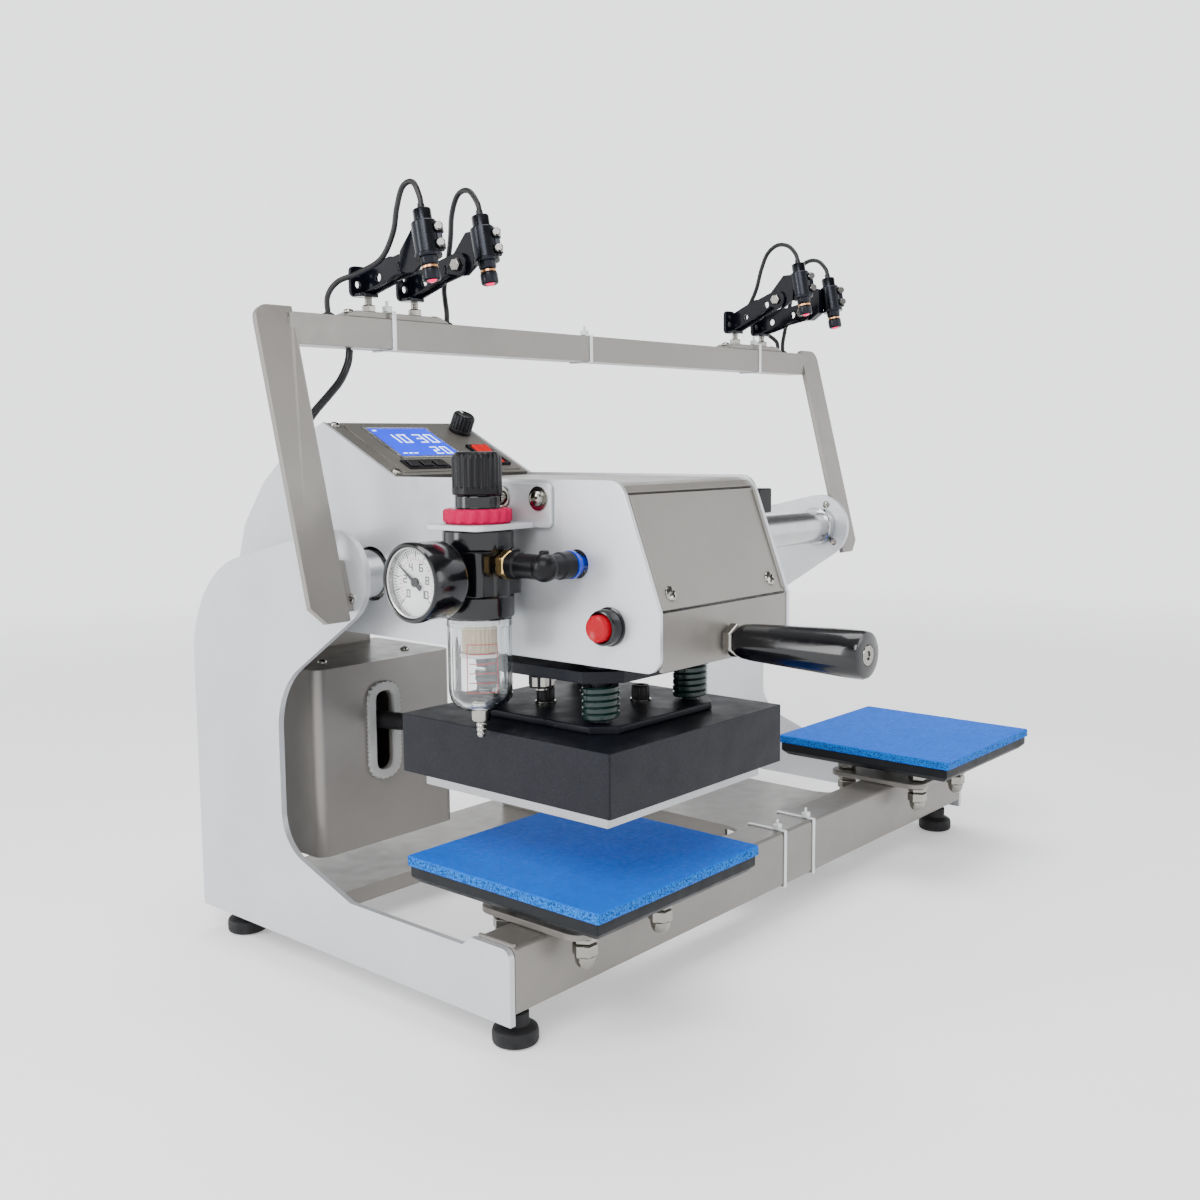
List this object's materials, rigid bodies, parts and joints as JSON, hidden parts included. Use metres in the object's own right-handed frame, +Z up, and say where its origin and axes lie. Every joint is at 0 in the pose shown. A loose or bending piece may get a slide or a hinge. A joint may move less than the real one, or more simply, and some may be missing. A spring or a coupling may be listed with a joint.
{
  "type": "mug heat press",
  "caption": "Bench heat press: a pneumatic heated head slides between side plates over blue pads, with tilting alignment lasers on a frame above.",
  "frame": {"origin": "middle of the machine's bounding box, on the floor under the feet", "axes": "+Z up, +X along the slide shaft to the operator's right, +Y to the rear"},
  "size_m": [0.641, 0.4688, 0.5067],
  "materials": {
    "silver_paint": "satin silver-white powder coat",
    "grey_paint": "satin warm grey powder coat",
    "shaft_chrome": "ground and polished",
    "zinc_steel": "zinc plated",
    "charcoal_paint": "fine hammered dark grey",
    "black_paint": "gloss black",
    "blue_foam": "closed-cell silicone foam",
    "cast_aluminium": "machined",
    "anodised_black": "black anodised",
    "black_rubber": "matt",
    "black_plastic": "gloss",
    "red_plastic": "gloss",
    "clear_plastic": "clear moulded bowl",
    "gauge_case": "black case, white dial",
    "green_spring": "gloss dark green"
  },
  "bodies": {
    "root": {"left_side_plate": "silver_paint", "right_side_plate": "silver_paint", "front_beam": "grey_paint", "spine_plate": "grey_paint", "rear_base_plate": "grey_paint", "slide_shaft": "shaft_chrome", "rear_guide_shaft": "shaft_chrome", "foot_front_left": "black_rubber", "foot_front_right": "black_rubber", "foot_rear_left": "black_rubber", "foot_rear_right": "black_rubber", "left_platen_bracket": "zinc_steel", "right_platen_bracket": "zinc_steel", "left_platen": "charcoal_paint", "right_platen": "charcoal_paint", "left_pad": "blue_foam", "right_pad": "blue_foam", "laser_frame": "grey_paint", "laser_base_left": "zinc_steel", "laser_base_right": "zinc_steel", "laser_lead_left_outer": "black_rubber", "laser_lead_left_inner": "black_rubber", "laser_lead_right_inner": "black_rubber", "laser_lead_right_outer": "black_rubber", "laser_supply_cable": "black_rubber"},
    "carriage": {"head_left_panel": "silver_paint", "head_right_panel": "silver_paint", "head_lower_front": "grey_paint", "head_front_cover": "grey_paint", "head_top_cover": "grey_paint", "head_rear_cover": "grey_paint", "bearing_block": "cast_aluminium", "air_cylinder": "cast_aluminium", "rear_box": "grey_paint", "heater_cable_sleeve": "black_rubber", "control_face": "grey_paint", "regulator_bracket": "zinc_steel", "regulator_body": "black_plastic", "filter_bowl": "clear_plastic", "pressure_gauge": "gauge_case", "elbow_fitting": "black_plastic", "handle_grip": "black_plastic", "button_collar": "black_plastic"},
    "ram": {"ram_plate": "black_paint", "spring_front_left": "green_spring", "spring_front_right": "green_spring", "spring_rear_left": "green_spring", "spring_rear_right": "green_spring"},
    "heater": {"heater_mount_plate": "black_paint", "heater_cover": "charcoal_paint", "heat_platen": "cast_aluminium"},
    "start_button": {"start_button": "red_plastic"},
    "encoder_knob": {"encoder_knob": "black_plastic"},
    "power_rocker": {"power_rocker": "red_plastic"},
    "regulator_knob": {"regulator_knob": "black_plastic"},
    "gauge_needle": {"gauge_needle": "black_plastic"},
    "laser_left_outer": {"laser_head_left_outer": "anodised_black"},
    "laser_left_inner": {"laser_head_left_inner": "anodised_black"},
    "laser_right_inner": {"laser_head_right_inner": "anodised_black"},
    "laser_right_outer": {"laser_head_right_outer": "anodised_black"}
  },
  "joints": [
    {"name": "carriage_slide", "type": "slide", "parent": "root", "child": "carriage", "axis": [1, 0, 0], "range_m": [-0.009, 0.394]},
    {"name": "press_stroke", "type": "slide", "parent": "carriage", "child": "ram", "axis": [0, 0, -1], "range_m": [0, 0.0412], "deforming": ["heater_cable_sleeve"]},
    {"name": "heater_float", "type": "slide", "parent": "ram", "child": "heater", "axis": [0, 0, 1], "range_m": [0, 0.004], "stiffness_N_per_m": 40000, "deforming": ["spring_front_left", "spring_front_right", "spring_rear_left", "spring_rear_right"]},
    {"name": "button_push", "type": "slide", "parent": "carriage", "child": "start_button", "axis": [1, 0, 0], "range_m": [0, 0.004], "stiffness_N_per_m": 600},
    {"name": "encoder_turn", "type": "hinge", "parent": "carriage", "child": "encoder_knob", "pos_m": [-0.1411, 0.10595, 0.34543], "axis": [0, -0.4462, 0.8949], "continuous": true},
    {"name": "rocker_tilt", "type": "hinge", "parent": "carriage", "child": "power_rocker", "pos_m": [-0.1463, 0.07351, 0.32869], "axis": [1, 0, 0], "range_deg": [-12, 0]},
    {"name": "regulator_turn", "type": "hinge", "parent": "carriage", "child": "regulator_knob", "pos_m": [-0.2708, -0.04555, 0.32], "axis": [0, 0, 1], "range_deg": [-720, 720]},
    {"name": "needle_swing", "type": "hinge", "parent": "carriage", "child": "gauge_needle", "pos_m": [-0.3145, -0.04555, 0.2678], "axis": [1, 0, 0], "range_deg": [-80, 190]},
    {"name": "laser_tilt_left_outer", "type": "hinge", "parent": "root", "child": "laser_left_outer", "pos_m": [-0.2135, 0.06795, 0.45], "axis": [1, 0, 0], "range_deg": [-20, 20], "deforming": ["laser_lead_left_outer"]},
    {"name": "laser_tilt_left_inner", "type": "hinge", "parent": "root", "child": "laser_left_inner", "pos_m": [-0.1745, 0.06795, 0.452], "axis": [1, 0, 0], "range_deg": [-20, 20], "deforming": ["laser_lead_left_inner"]},
    {"name": "laser_tilt_right_inner", "type": "hinge", "parent": "root", "child": "laser_right_inner", "pos_m": [0.1975, 0.06795, 0.458], "axis": [1, 0, 0], "range_deg": [-20, 20], "deforming": ["laser_lead_right_inner"]},
    {"name": "laser_tilt_right_outer", "type": "hinge", "parent": "root", "child": "laser_right_outer", "pos_m": [0.2395, 0.06795, 0.45], "axis": [1, 0, 0], "range_deg": [-20, 20], "deforming": ["laser_lead_right_outer"]}
  ]
}
